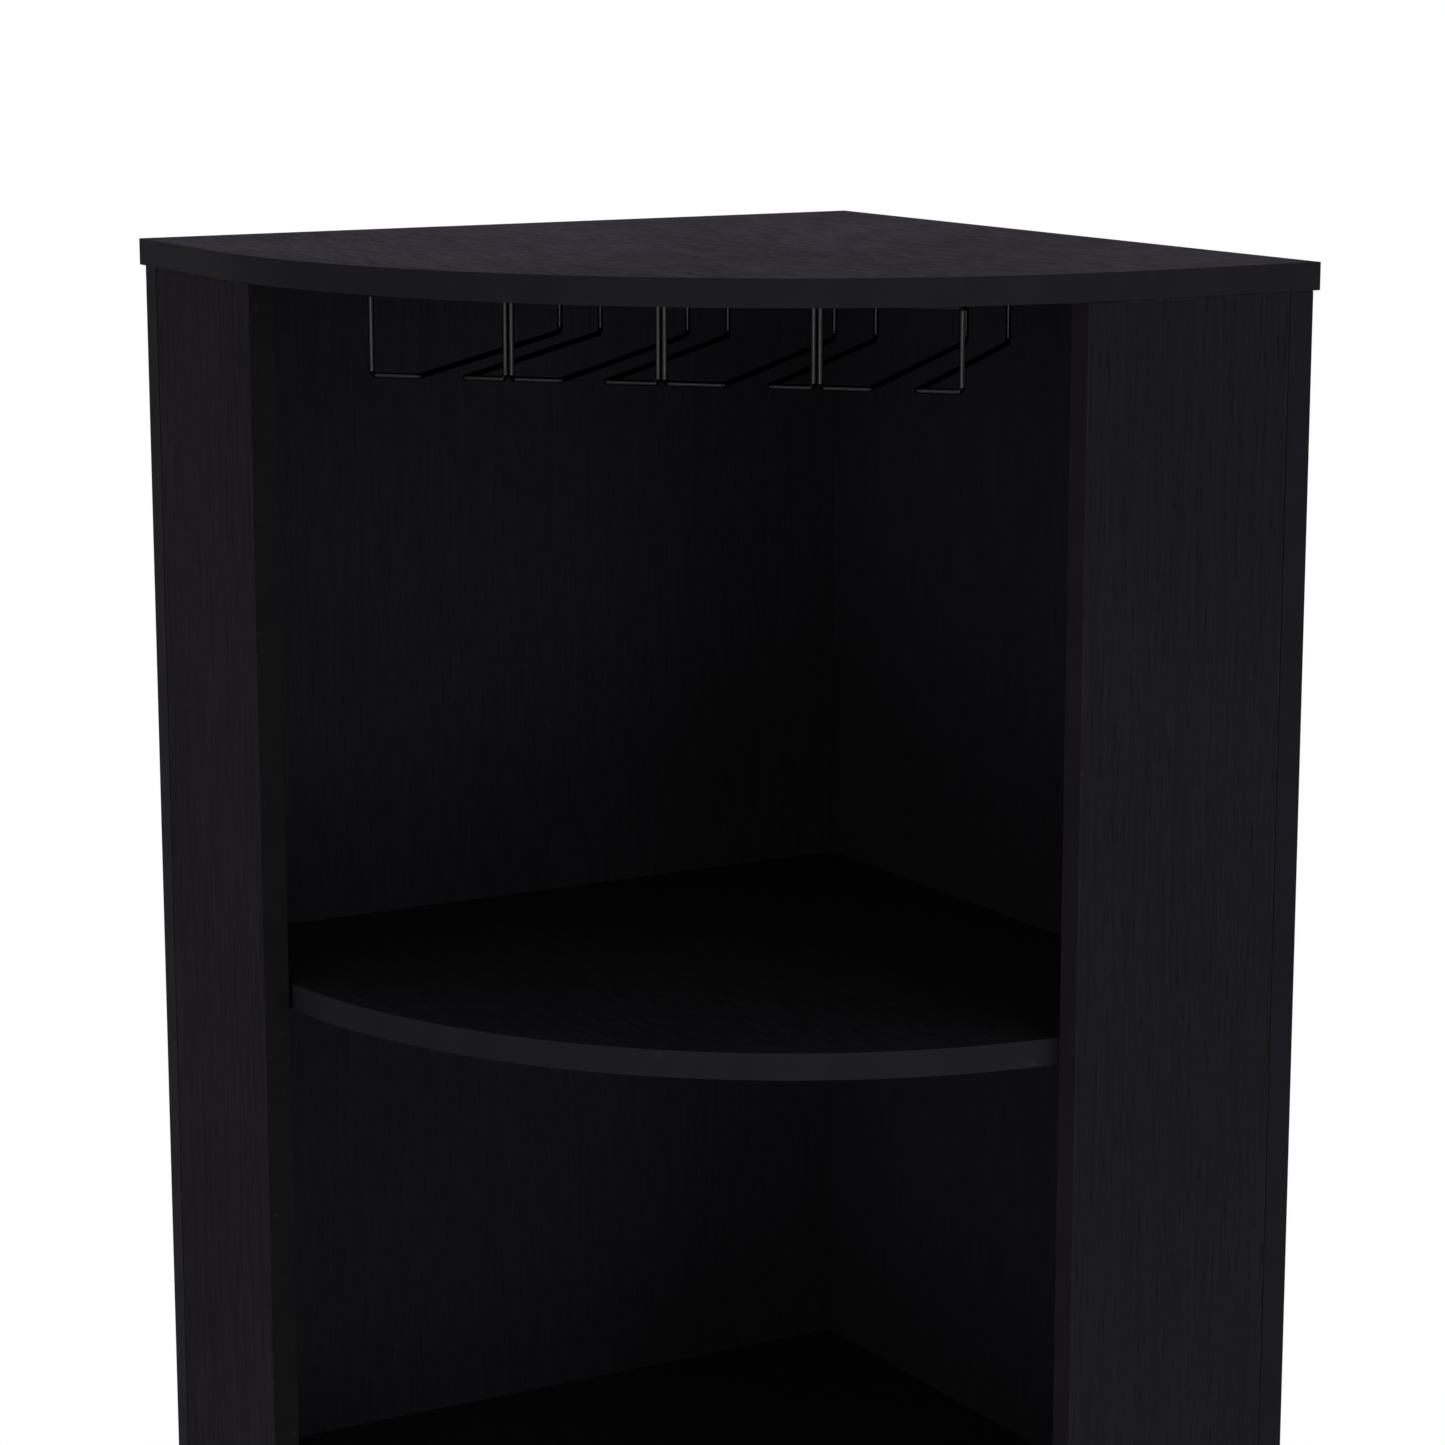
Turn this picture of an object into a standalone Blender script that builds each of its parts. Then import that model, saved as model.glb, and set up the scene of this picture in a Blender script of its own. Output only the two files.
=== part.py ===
# Corner bar cabinet. Two wall panels meet in the room's corner, a front stile stands across the end
# of each, and a rounded top and rounded shelves fill the quarter between them. A wire stemware rack
# hangs under the top, and a flat door closes the cupboard at the foot.
#
# Lengths are in metres and +Z is up. Plans are drawn as (a, b) from the top board's square corner:
# a runs out from the right-hand wall, b runs out from the left-hand wall, as seen from the room.

import math

import bmesh
import bpy
from mathutils import Matrix, Vector

# The whole cabinet
HEIGHT = 1.800             # the top's upper surface above the floor
TOP_SIDE = 0.475           # the top along each wall
BOARD = 0.015              # thickness of every board
ROUNDING_INSET = 0.1125    # centre of the rounded fronts, out from each wall
REVEAL = 0.0025            # the top stands this far past the panels and stiles
STILE_WIDTH = 0.130
SEAM = 0.0003              # between pieces that touch
EASED_EDGE = 0.0005

# Heights between the boards
UPPER_BAY = 0.394          # clear height under the top
OPEN_BAY = 0.3087          # clear height of each bay below it
TOE_SPACE = 0.070          # under the bottom board
INNER_SHELF_RISE = 0.300   # from the bottom board to the shelf in the cupboard

# Boards behind the stiles
SHELF_END_GAP = 0.0015     # each shelf stops short of the stiles
TOE_SETBACK = 0.022        # the toe board, behind the door's face
INNER_SHELF_SETBACK = 0.020

# Glides under the uprights
GLIDE_RADIUS = 0.0065
GLIDE_HEIGHT = 0.004
GLIDE_CHAMFER = 0.001
GLIDE_INSET = 0.030        # from an upright's ends

# Pegs that carry the shelf in the cupboard
PEG_RADIUS = 0.0025
PEG_PLAY = 0.0003
PEG_DEPTH = 0.008          # into the panel
PEG_REACH = 0.010          # out of the panel
PEG_TIP = 0.0006
COLLAR_RADIUS = 0.0038
COLLAR_THICKNESS = 0.0012
PEG_INSET = 0.060          # from the panel's inner corner and from the stile

# Door and what is on it
DOOR_CLEARANCE = 0.003     # above and below
KNOB_RADIUS = 0.015
KNOB_LENGTH = 0.026
KNOB_FROM_EDGE = 0.045
KNOB_FROM_TOP = 0.120
KNOB_BORE = 0.014          # depth of the screw's hole in its foot
CATCH_WIDTH = 0.030
CATCH_EAR = 0.009
CATCH_EAR_THICKNESS = 0.0025
CATCH_HEIGHT = 0.016
CATCH_DEPTH = 0.014
CATCH_FROM_EDGE = 0.055
CATCH_SLOT = 0.002         # between the magnet's two cheeks
STRIKE_LENGTH = 0.034
STRIKE_HEIGHT = 0.0115
STRIKE_THICKNESS = 0.001

# Countersunk holes in the hinges, the catch, the rack's strips and the door behind its knob
SCREW_RADIUS = 0.0016
SCREW_HEAD_RADIUS = 0.0028
SCREW_EDGE = 0.0014        # metal between a countersink and the plate's end

# Butt hinges
HINGE_LENGTH = 0.060
HINGE_INSET = 0.080        # from the door's ends
KNUCKLES = 5
LEAF_SCREWS = 3
LEAF_THICKNESS = 0.001
LEAF_REACH = 0.0165        # from the pin's axis to the leaf's far edge
PIN_RADIUS = 0.0015
PIN_PLAY = 0.0003
PIN_HEAD_RADIUS = 0.0024
PIN_HEAD_HEIGHT = 0.0009
KNUCKLE_GAP = 0.0004
CURL_END_DEGREES = 245

# Stemware rack
RACK_FRONT = 0.470         # from the top's square corner, along the diagonal
RACK_BACK = 0.217
RACK_DROP = 0.0443         # from the top's underside to the middle of the rails
WIRE_RADIUS = 0.00155
WIRE_BEND = 0.003          # to the wire's middle
STRIP_WIDTH = 0.014
STRIP_THICKNESS = 0.0012
# Each hanger's left drop, left rail, right rail and right drop, from the diagonal to the right
HANGERS = (
    (-0.1482, -0.1217, -0.0967, -0.0739),
    (-0.0705, -0.0437, -0.0193, 0.0094),
    (0.0128, 0.0444, 0.0690, 0.0924),
    (0.0958, 0.1218, 0.1465, 0.1701),
)

# Fineness of the round forms
FRONT_STEPS = 40
BEND_STEPS = 5
TURNED_STEPS = 24
PEG_STEPS = 16
CURL_STEPS = 14
OVERRUN = 0.002            # a cutter's excess past what it cuts
WELD = 0.00001

# Finishes: colour, roughness, metallic
BLACK_BOARD = ((0.021, 0.019, 0.023), 0.45, 0.0)
BLACK_WIRE = ((0.010, 0.010, 0.011), 0.25, 0.6)
STEEL = ((0.45, 0.45, 0.46), 0.35, 1.0)
BLACK_PLASTIC = ((0.015, 0.015, 0.016), 0.50, 0.0)

# Places that follow from the sizes above
INNER_FACE = REVEAL + BOARD                      # a wall panel's face inside the cabinet
FRONT_FACE = TOP_SIDE - REVEAL                   # a stile's outer face
STILE_BACK = FRONT_FACE - BOARD
STILE_END = INNER_FACE + SEAM + STILE_WIDTH
UNDER_TOP = HEIGHT - BOARD
FOOT = GLIDE_HEIGHT + SEAM                       # the uprights' lower ends
UPRIGHT = UNDER_TOP - SEAM - FOOT
UPPER_SHELF = UNDER_TOP - UPPER_BAY - BOARD      # these four are undersides
SERVING_SHELF = UPPER_SHELF - OPEN_BAY - BOARD
CUPBOARD_TOP = SERVING_SHELF - OPEN_BAY - BOARD
BOTTOM_BOARD = TOE_SPACE
CUPBOARD_FLOOR = BOTTOM_BOARD + BOARD
SHELF_NEAR = INNER_FACE + SEAM
SHELF_FAR = STILE_BACK - SHELF_END_GAP

# The hinge pin stands just outside the gap between the right stile and the door, so that the
# knuckles clear both, and the door's face lies level with the stiles' outer corners.
DOOR_GAP = 2 * LEAF_THICKNESS + 3 * SEAM
KNUCKLE_RADIUS = PIN_RADIUS + PIN_PLAY + LEAF_THICKNESS
KNUCKLE_ROOM = KNUCKLE_RADIUS + KNUCKLE_GAP
HINGE_A = STILE_END + DOOR_GAP / 2
HINGE_B = FRONT_FACE + math.sqrt(KNUCKLE_ROOM**2 - (DOOR_GAP / 2) ** 2)
DOOR_FACE = (HINGE_A + HINGE_B) / math.sqrt(2) - KNUCKLE_ROOM
DOOR_BACK = DOOR_FACE - BOARD
DOOR_SLANT = math.sqrt(2) * (STILE_END + DOOR_GAP)
DOOR_FOOT = CUPBOARD_FLOOR + DOOR_CLEARANCE
DOOR_HEIGHT = CUPBOARD_TOP - DOOR_CLEARANCE - DOOR_FOOT


def on_diagonal(side, depth):
    # (a, b) of a place by its distance right of the diagonal and its depth out along it
    return (depth - side) / math.sqrt(2), (depth + side) / math.sqrt(2)


def swapped(outline):
    return [(b, a) for a, b in outline]


def arc(centre, radius, first, last, steps):
    angles = [math.radians(first + (last - first) * i / steps) for i in range(steps + 1)]
    return [(centre[0] + radius * math.cos(t), centre[1] + radius * math.sin(t)) for t in angles]


def rectangle(a_low, a_high, b_low, b_high):
    return [(a_low, b_low), (a_high, b_low), (a_high, b_high), (a_low, b_high)]


def rounded_front(near, far):
    # a board's outline: square at the walls, straight at its ends, then one arc to the room
    centre = (ROUNDING_INSET, ROUNDING_INSET)
    front = arc(centre, far - ROUNDING_INSET, 0, 90, FRONT_STEPS)
    return [(near, near), (far, near), *front, (near, far)]


def add(name, data, parent, location, look):
    obj = bpy.data.objects.new(name, data)
    bpy.context.scene.collection.objects.link(obj)
    obj.parent = parent
    obj.location = location
    if look:
        colour, roughness, metallic = look
        material = bpy.data.materials.new(name + "_finish")
        material.use_nodes = True
        shader = material.node_tree.nodes["Principled BSDF"]
        shader.inputs["Base Color"].default_value = (*colour, 1.0)
        shader.inputs["Roughness"].default_value = roughness
        shader.inputs["Metallic"].default_value = metallic
        data.materials.append(material)
    return obj


def finished(bm, name, smooth=False):
    bmesh.ops.recalc_face_normals(bm, faces=bm.faces)
    mesh = bpy.data.meshes.new(name)
    bm.to_mesh(mesh)
    bm.free()
    if smooth:
        mesh.shade_smooth()
        mesh.set_sharp_from_angle(angle=math.radians(35))
    return mesh


def prism(name, outline, height, smooth=False):
    bm = bmesh.new()
    face = bm.faces.new([bm.verts.new((x, y, 0)) for x, y in outline])
    grown = bmesh.ops.extrude_face_region(bm, geom=[face])["geom"]
    risen = [item for item in grown if isinstance(item, bmesh.types.BMVert)]
    bmesh.ops.translate(bm, verts=risen, vec=(0, 0, height))
    return finished(bm, name, smooth)


def turned(name, profile, steps):
    bm = bmesh.new()
    points = [bm.verts.new((radius, 0, height)) for radius, height in profile]
    edges = [bm.edges.new(pair) for pair in zip(points, points[1:])]
    bmesh.ops.spin(bm, geom=points + edges, cent=(0, 0, 0), axis=(0, 0, 1), angle=math.tau,
                   steps=steps, use_merge=True)
    bmesh.ops.remove_doubles(bm, verts=bm.verts, dist=WELD)
    return finished(bm, name, smooth=True)


def add_block(bm, low, high):
    made = bmesh.ops.create_cube(bm, size=1)["verts"]
    size = Vector(high) - Vector(low)
    bmesh.ops.scale(bm, verts=made, vec=size)
    bmesh.ops.translate(bm, verts=made, vec=Vector(low) + size / 2)


def add_screw_hole(bm, seat, direction, thickness):
    # a hole through a plate from its seat, widening to a countersink in the face it comes out of
    countersink = min(thickness, SCREW_HEAD_RADIUS - SCREW_RADIUS)
    profile = [
        (0, -OVERRUN),
        (SCREW_RADIUS, -OVERRUN),
        (SCREW_RADIUS, thickness - countersink),
        (SCREW_HEAD_RADIUS, thickness),
        (SCREW_HEAD_RADIUS, thickness + OVERRUN),
        (0, thickness + OVERRUN),
    ]
    hole = turned("screw_hole", profile, PEG_STEPS)
    turn = Vector(direction).to_track_quat("Z", "Y").to_matrix().to_4x4()
    hole.transform(Matrix.Translation(seat) @ turn)
    bm.from_mesh(hole)
    bpy.data.meshes.remove(hole)


def eased(obj, width):
    bevel = obj.modifiers.new("eased_edges", "BEVEL")
    bevel.width = width
    bevel.segments = 2
    bevel.limit_method = "ANGLE"
    bevel.angle_limit = math.radians(40)
    bevel.harden_normals = False


def cut(obj, cutter):
    cutter.hide_render = True
    cutter.display_type = "WIRE"
    hole = obj.modifiers.new(cutter.name, "BOOLEAN")
    hole.operation = "DIFFERENCE"
    hole.object = cutter


def board(name, outline, bottom, height=BOARD):
    obj = add(name, prism(name, outline, height, smooth=True), corner, (0, 0, bottom), BLACK_BOARD)
    eased(obj, EASED_EDGE)
    return obj


def facing(obj, direction):
    # turns a turned piece so that its axis points along direction
    obj.rotation_euler = Vector(direction).to_track_quat("Z", "Y").to_euler()


def make_carcase():
    left = rectangle(INNER_FACE + SEAM, FRONT_FACE, REVEAL, INNER_FACE)
    right = swapped(rectangle(REVEAL, FRONT_FACE, REVEAL, INNER_FACE))
    stile = rectangle(STILE_BACK, FRONT_FACE, INNER_FACE + SEAM, STILE_END)
    panels = board("left_wall_panel", left, FOOT, UPRIGHT), board("right_wall_panel", right, FOOT, UPRIGHT)
    board("left_stile", stile, FOOT, UPRIGHT)
    board("right_stile", swapped(stile), FOOT, UPRIGHT)
    board("top_board", rounded_front(0, TOP_SIDE), UNDER_TOP)
    for name, bottom in (
        ("upper_shelf", UPPER_SHELF),
        ("serving_shelf", SERVING_SHELF),
        ("cupboard_top_board", CUPBOARD_TOP),
        ("bottom_board", BOTTOM_BOARD),
    ):
        board(name, rounded_front(SHELF_NEAR, SHELF_FAR), bottom)
    return panels


def make_toe_board():
    end = STILE_BACK - SEAM
    front = math.sqrt(2) * (DOOR_FACE - TOE_SETBACK)
    back = front - math.sqrt(2) * BOARD
    outline = [(end, front - end), (front - end, end), (back - end, end), (end, back - end)]
    board("toe_board", outline, FOOT, BOTTOM_BOARD - SEAM - FOOT)


def make_inner_shelf(panels):
    near = INNER_FACE + COLLAR_THICKNESS + 3 * SEAM
    front = math.sqrt(2) * (DOOR_BACK - INNER_SHELF_SETBACK)
    outline = [
        (near, near),
        (SHELF_FAR, near),
        (SHELF_FAR, front - SHELF_FAR),
        (front - SHELF_FAR, SHELF_FAR),
        (near, SHELF_FAR),
    ]
    bottom = CUPBOARD_FLOOR + INNER_SHELF_RISE
    board("inner_shelf", outline, bottom)

    height = bottom - SEAM - PEG_RADIUS
    profile = [
        (0, -PEG_DEPTH),
        (PEG_RADIUS, -PEG_DEPTH),
        (PEG_RADIUS, SEAM),
        (COLLAR_RADIUS, SEAM),
        (COLLAR_RADIUS, SEAM + COLLAR_THICKNESS),
        (PEG_RADIUS, SEAM + COLLAR_THICKNESS),
        (PEG_RADIUS, PEG_REACH - PEG_TIP),
        (PEG_RADIUS - PEG_TIP, PEG_REACH),
        (0, PEG_REACH),
    ]
    bore = PEG_RADIUS + PEG_PLAY
    hole = [(0, -PEG_DEPTH - PEG_PLAY), (bore, -PEG_DEPTH - PEG_PLAY), (bore, OVERRUN), (0, OVERRUN)]
    for panel, hand in zip(panels, ("left", "right")):
        for place, along in (("back", INNER_FACE + PEG_INSET), ("front", STILE_BACK - PEG_INSET)):
            a, b = (along, INNER_FACE) if hand == "left" else (INNER_FACE, along)
            out = (0, 1, 0) if hand == "left" else (1, 0, 0)
            name = f"shelf_peg_{hand}_{place}"
            peg = add(name, turned(name, profile, PEG_STEPS), corner, (a, b, height), STEEL)
            cutter = add(name + "_hole", turned(name + "_hole", hole, PEG_STEPS), corner,
                         (a, b, height), None)
            facing(peg, out)
            facing(cutter, out)
            cut(panel, cutter)


def make_glides():
    profile = [
        (0, 0),
        (GLIDE_RADIUS - GLIDE_CHAMFER, 0),
        (GLIDE_RADIUS, GLIDE_CHAMFER),
        (GLIDE_RADIUS, GLIDE_HEIGHT),
        (0, GLIDE_HEIGHT),
    ]
    panel_middle = REVEAL + BOARD / 2
    stile_middle = FRONT_FACE - BOARD / 2
    for place, along, across in (
        ("panel_back", INNER_FACE + GLIDE_INSET, panel_middle),
        ("panel_front", FRONT_FACE - GLIDE_INSET, panel_middle),
        ("stile", stile_middle, STILE_END - GLIDE_INSET),
    ):
        for hand, (a, b) in (("left", (along, across)), ("right", (across, along))):
            name = f"glide_{hand}_{place}"
            add(name, turned(name, profile, TURNED_STEPS), corner, (a, b, 0), BLACK_PLASTIC)


def make_door():
    # the door's ends are cut parallel to the stiles' ends, so the gaps keep one width
    face, back = DOOR_FACE - DOOR_SLANT, DOOR_BACK - DOOR_SLANT
    corners = ((-face, DOOR_FACE), (face, DOOR_FACE), (back, DOOR_BACK), (-back, DOOR_BACK))
    plan = [on_diagonal(side, depth) for side, depth in corners]
    outline = [(a - HINGE_A, b - HINGE_B) for a, b in plan]
    door = add("door", prism("door", outline, DOOR_HEIGHT), pivot, (0, 0, 0), BLACK_BOARD)
    eased(door, EASED_EDGE)

    # a turned knob with a flared foot, a slim neck and a domed head
    foot_share, neck_share, neck_height_share, rim_height_share = 0.58, 0.40, 0.38, 0.74
    neck = KNOB_RADIUS * neck_share
    rim = KNOB_LENGTH * rim_height_share
    throat = KNOB_LENGTH * neck_height_share
    foot = KNOB_RADIUS * foot_share
    flare = arc((foot, throat), foot - neck, 270, 180, 6)
    bell = arc((neck, rim), KNOB_RADIUS - neck, -60, 0, 6)
    dome = [(KNOB_RADIUS * math.cos(t), rim + (KNOB_LENGTH - rim) * math.sin(t))
            for t in (math.radians(15 * i) for i in range(1, 6))]
    bore = [(0, KNOB_BORE), (SCREW_RADIUS, KNOB_BORE), (SCREW_RADIUS, 0)]
    profile = [*bore, (foot, 0), *flare, *bell, *dome, (0, KNOB_LENGTH)]
    side = -(face - KNOB_FROM_EDGE)
    height = DOOR_HEIGHT - KNOB_FROM_TOP
    a, b = on_diagonal(side, DOOR_FACE + SEAM)
    knob = add("door_knob", turned("door_knob", profile, TURNED_STEPS), pivot,
               (a - HINGE_A, b - HINGE_B, height), STEEL)
    facing(knob, (1, 1, 0))

    # the knob's screw comes through the door from its back
    a, b = on_diagonal(side, DOOR_FACE)
    bm = bmesh.new()
    add_screw_hole(bm, (a - HINGE_A, b - HINGE_B, height), (-1, -1, 0), BOARD)
    cut(door, add("door_knob_hole", finished(bm, "door_knob_hole"), pivot, door.location, None))


def make_catch():
    # a magnetic catch under the board above the door, and its strike plate on the door's back
    middle = -(DOOR_BACK - DOOR_SLANT - CATCH_FROM_EDGE)
    plate_face = DOOR_BACK - SEAM - STRIKE_THICKNESS
    sides = middle - STRIKE_LENGTH / 2, middle + STRIKE_LENGTH / 2
    depths = plate_face, plate_face + STRIKE_THICKNESS
    corners = ((sides[0], depths[0]), (sides[1], depths[0]), (sides[1], depths[1]), (sides[0], depths[1]))
    plan = [on_diagonal(side, depth) for side, depth in corners]
    outline = [(a - HINGE_A, b - HINGE_B) for a, b in plan]
    foot = DOOR_HEIGHT - STRIKE_HEIGHT - SEAM
    plate = add("catch_strike_plate", prism("catch_strike_plate", outline, STRIKE_HEIGHT), pivot,
                (0, 0, foot), STEEL)
    bm = bmesh.new()
    screw_reach = STRIKE_LENGTH / 2 - SCREW_EDGE - SCREW_HEAD_RADIUS
    for side in (middle - screw_reach, middle + screw_reach):
        a, b = on_diagonal(side, depths[1])
        seat = (a - HINGE_A, b - HINGE_B, STRIKE_HEIGHT / 2)
        add_screw_hole(bm, seat, (-1, -1, 0), STRIKE_THICKNESS)
    cut(plate, add("catch_strike_holes", finished(bm, "catch_strike_holes"), pivot, plate.location, None))

    half, wide = CATCH_WIDTH / 2, CATCH_WIDTH / 2 + CATCH_EAR
    section = [
        (-wide, 0),
        (-wide, -CATCH_EAR_THICKNESS),
        (-half, -CATCH_EAR_THICKNESS),
        (-half, -CATCH_HEIGHT),
        (half, -CATCH_HEIGHT),
        (half, -CATCH_EAR_THICKNESS),
        (wide, -CATCH_EAR_THICKNESS),
        (wide, 0),
    ]
    a, b = on_diagonal(middle, plate_face - SEAM)
    body = add("catch_body", prism("catch_body", section, CATCH_DEPTH), corner,
               (a, b, CUPBOARD_TOP - SEAM), BLACK_PLASTIC)
    # the section stands upright and runs back from the face that the magnet shows the door
    body.rotation_euler = (math.radians(90), 0, math.radians(-45))
    middle_height = -(CATCH_HEIGHT + CATCH_EAR_THICKNESS) / 2
    bm = bmesh.new()
    add_block(bm, (-half - OVERRUN, middle_height - CATCH_SLOT / 2, -OVERRUN),
              (half + OVERRUN, middle_height + CATCH_SLOT / 2, CATCH_SLOT))
    for side in (-(half + wide) / 2, (half + wide) / 2):
        add_screw_hole(bm, (side, 0, CATCH_DEPTH / 2), (0, -1, 0), CATCH_EAR_THICKNESS)
    cutter = add("catch_cuts", finished(bm, "catch_cuts"), corner, body.location, None)
    cutter.rotation_euler = body.rotation_euler
    cut(body, cutter)


def leaf_section(hand):
    # a leaf and its rolled knuckle, about the pin's axis; hand -1 is on the stile, +1 on the door
    outer = DOOR_GAP / 2 - SEAM
    inner = outer - LEAF_THICKNESS
    bore = PIN_RADIUS + PIN_PLAY
    root = -math.degrees(math.acos(outer / KNUCKLE_RADIUS))
    throat = -math.degrees(math.acos(inner / bore))
    section = [(outer, -LEAF_REACH)]
    section += arc((0, 0), KNUCKLE_RADIUS, root, CURL_END_DEGREES, CURL_STEPS)
    section += arc((0, 0), bore, CURL_END_DEGREES, throat, CURL_STEPS)
    section += [(inner, -LEAF_REACH)]
    return [(hand * x, y) for x, y in section]


def make_hinges():
    step = HINGE_LENGTH / KNUCKLES
    reach = KNUCKLE_RADIUS + OVERRUN
    flat_middle = (KNUCKLE_ROOM + LEAF_REACH) / 2
    for place, foot in (("lower", HINGE_INSET), ("upper", DOOR_HEIGHT - HINGE_INSET - HINGE_LENGTH)):
        for leaf, hand, parent, first in (("stile", -1, corner, 0), ("door", 1, pivot, 1)):
            name = f"hinge_{place}_{leaf}_leaf"
            location = (0, 0, foot) if parent == pivot else (HINGE_A, HINGE_B, DOOR_FOOT + foot)
            obj = add(name, prism(name, leaf_section(hand), HINGE_LENGTH, smooth=True), parent,
                      location, STEEL)
            # each leaf is notched where the other leaf's knuckles turn, and drilled in its flat
            bm = bmesh.new()
            for i in range(1 - first, KNUCKLES, 2):
                low = i * step - KNUCKLE_GAP / 2 if i > 0 else -OVERRUN
                high = (i + 1) * step + KNUCKLE_GAP / 2 if i < KNUCKLES - 1 else HINGE_LENGTH + OVERRUN
                add_block(bm, (-reach, -KNUCKLE_ROOM, low), (reach, reach, high))
            seat = hand * (DOOR_GAP / 2 - SEAM)
            for i in range(LEAF_SCREWS):
                height = HINGE_LENGTH * (i + 0.5) / LEAF_SCREWS
                add_screw_hole(bm, (seat, -flat_middle, height), (-hand, 0, 0), LEAF_THICKNESS)
            cuts = add(name + "_cuts", finished(bm, name + "_cuts"), parent, location, None)
            cut(obj, cuts)
        length = HINGE_LENGTH + SEAM
        profile = [
            (0, -SEAM - PIN_HEAD_HEIGHT),
            (PIN_RADIUS, -SEAM - PIN_HEAD_HEIGHT),
            (PIN_HEAD_RADIUS, -SEAM - PIN_HEAD_HEIGHT / 2),
            (PIN_HEAD_RADIUS, -SEAM),
            (PIN_RADIUS, -SEAM),
            (PIN_RADIUS, length),
            (PIN_HEAD_RADIUS, length),
            (PIN_HEAD_RADIUS, length + PIN_HEAD_HEIGHT / 2),
            (PIN_RADIUS, length + PIN_HEAD_HEIGHT),
            (0, length + PIN_HEAD_HEIGHT),
        ]
        name = f"hinge_{place}_pin"
        add(name, turned(name, profile, PEG_STEPS), corner, (HINGE_A, HINGE_B, DOOR_FOOT + foot), STEEL)


def bent(corners, bend):
    # a path through corners, each a right angle rounded to the bend radius
    path = [corners[0]]
    for before, here, after in zip(corners, corners[1:], corners[2:]):
        back = (before - here).normalized()
        on = (after - here).normalized()
        centre = here + (back + on) * bend
        for i in range(BEND_STEPS + 1):
            turn = math.radians(90) * i / BEND_STEPS
            path.append(centre - on * bend * math.cos(turn) - back * bend * math.sin(turn))
    return path + [corners[-1]]


def make_stemware_rack():
    strip_foot = UNDER_TOP - SEAM - STRIP_THICKNESS
    weld = strip_foot - SEAM
    rail = UNDER_TOP - RACK_DROP
    for number, (left_drop, left_rail, right_rail, right_drop) in enumerate(HANGERS, 1):
        route = (
            (left_drop, RACK_FRONT, weld),
            (left_drop, RACK_FRONT, rail),
            (left_rail, RACK_FRONT, rail),
            (left_rail, RACK_BACK, rail),
            (left_rail, RACK_BACK, weld - WIRE_RADIUS),
            (right_rail, RACK_BACK, weld - WIRE_RADIUS),
            (right_rail, RACK_BACK, rail),
            (right_rail, RACK_FRONT, rail),
            (right_drop, RACK_FRONT, rail),
            (right_drop, RACK_FRONT, weld),
        )
        path = bent([Vector((*on_diagonal(side, depth), z)) for side, depth, z in route], WIRE_BEND)
        wire = bpy.data.curves.new(f"stemware_hanger_{number}", "CURVE")
        wire.dimensions = "3D"
        wire.bevel_depth = WIRE_RADIUS
        wire.bevel_resolution = 2
        wire.use_fill_caps = True
        spline = wire.splines.new("POLY")
        spline.points.add(len(path) - 1)
        for point, place in zip(spline.points, path):
            point.co = (*(place - Vector((0, 0, rail))), 1)
        add(wire.name, wire, corner, (0, 0, rail), BLACK_WIRE)

    drops_end = HANGERS[-1][-1] + WIRE_RADIUS
    drops_start = HANGERS[0][0] - WIRE_RADIUS
    rails_end = HANGERS[-1][2] + STRIP_WIDTH / 2
    rails_start = HANGERS[0][1] - STRIP_WIDTH / 2
    # the front strip is screwed up between each hanger's drops, the back strip between the hangers
    front_screws = [(left_drop + right_drop) / 2 for left_drop, _, _, right_drop in HANGERS]
    back_screws = [(this[2] + after[1]) / 2 for this, after in zip(HANGERS, HANGERS[1:])]
    for name, depth, start, end, screws in (
        ("rack_front_strip", RACK_FRONT, drops_start, drops_end, front_screws),
        ("rack_back_strip", RACK_BACK, rails_start, rails_end, back_screws),
    ):
        near, far = depth - STRIP_WIDTH / 2, depth + STRIP_WIDTH / 2
        corners = ((start, near), (start, far), (end, far), (end, near))
        outline = [on_diagonal(side, out) for side, out in corners]
        strip = add(name, prism(name, outline, STRIP_THICKNESS), corner, (0, 0, strip_foot), BLACK_WIRE)
        bm = bmesh.new()
        for side in screws:
            seat = (*on_diagonal(side, depth), STRIP_THICKNESS)
            add_screw_hole(bm, seat, (0, 0, -1), STRIP_THICKNESS)
        cut(strip, add(name + "_holes", finished(bm, name + "_holes"), corner, strip.location, None))


for old in list(bpy.data.objects):
    bpy.data.objects.remove(old, do_unlink=True)

# The corner where the walls meet, turned so that its X and Y run out along a and b. The origin
# lies on the floor under the middle of the cabinet's box, which the hinge knuckles reach past the top.
corner = bpy.data.objects.new("wall_corner", None)
bpy.context.scene.collection.objects.link(corner)
corner.location = (TOP_SIDE / 2, (HINGE_B + KNUCKLE_RADIUS) / 2, 0)
corner.rotation_euler = (0, 0, math.radians(180))

# The door's pieces turn about the hinge pins
pivot = bpy.data.objects.new("door_pivot", None)
bpy.context.scene.collection.objects.link(pivot)
pivot.parent = corner
pivot.location = (HINGE_A, HINGE_B, DOOR_FOOT)

wall_panels = make_carcase()
make_toe_board()
make_inner_shelf(wall_panels)
make_glides()
make_door()
make_catch()
make_hinges()
make_stemware_rack()
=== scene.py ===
# Corner bar cabinet in black grained board: finishes, small fittings, light and camera
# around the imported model. Metres, +Z up. The room is towards -X and -Y, the wall corner at +X +Y.
# Pieces that stand square to the door are drawn with X to the right and -Y out of the wall corner,
# and then turned onto the diagonal.
import math
import bpy
from mathutils import Matrix, Vector


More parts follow.
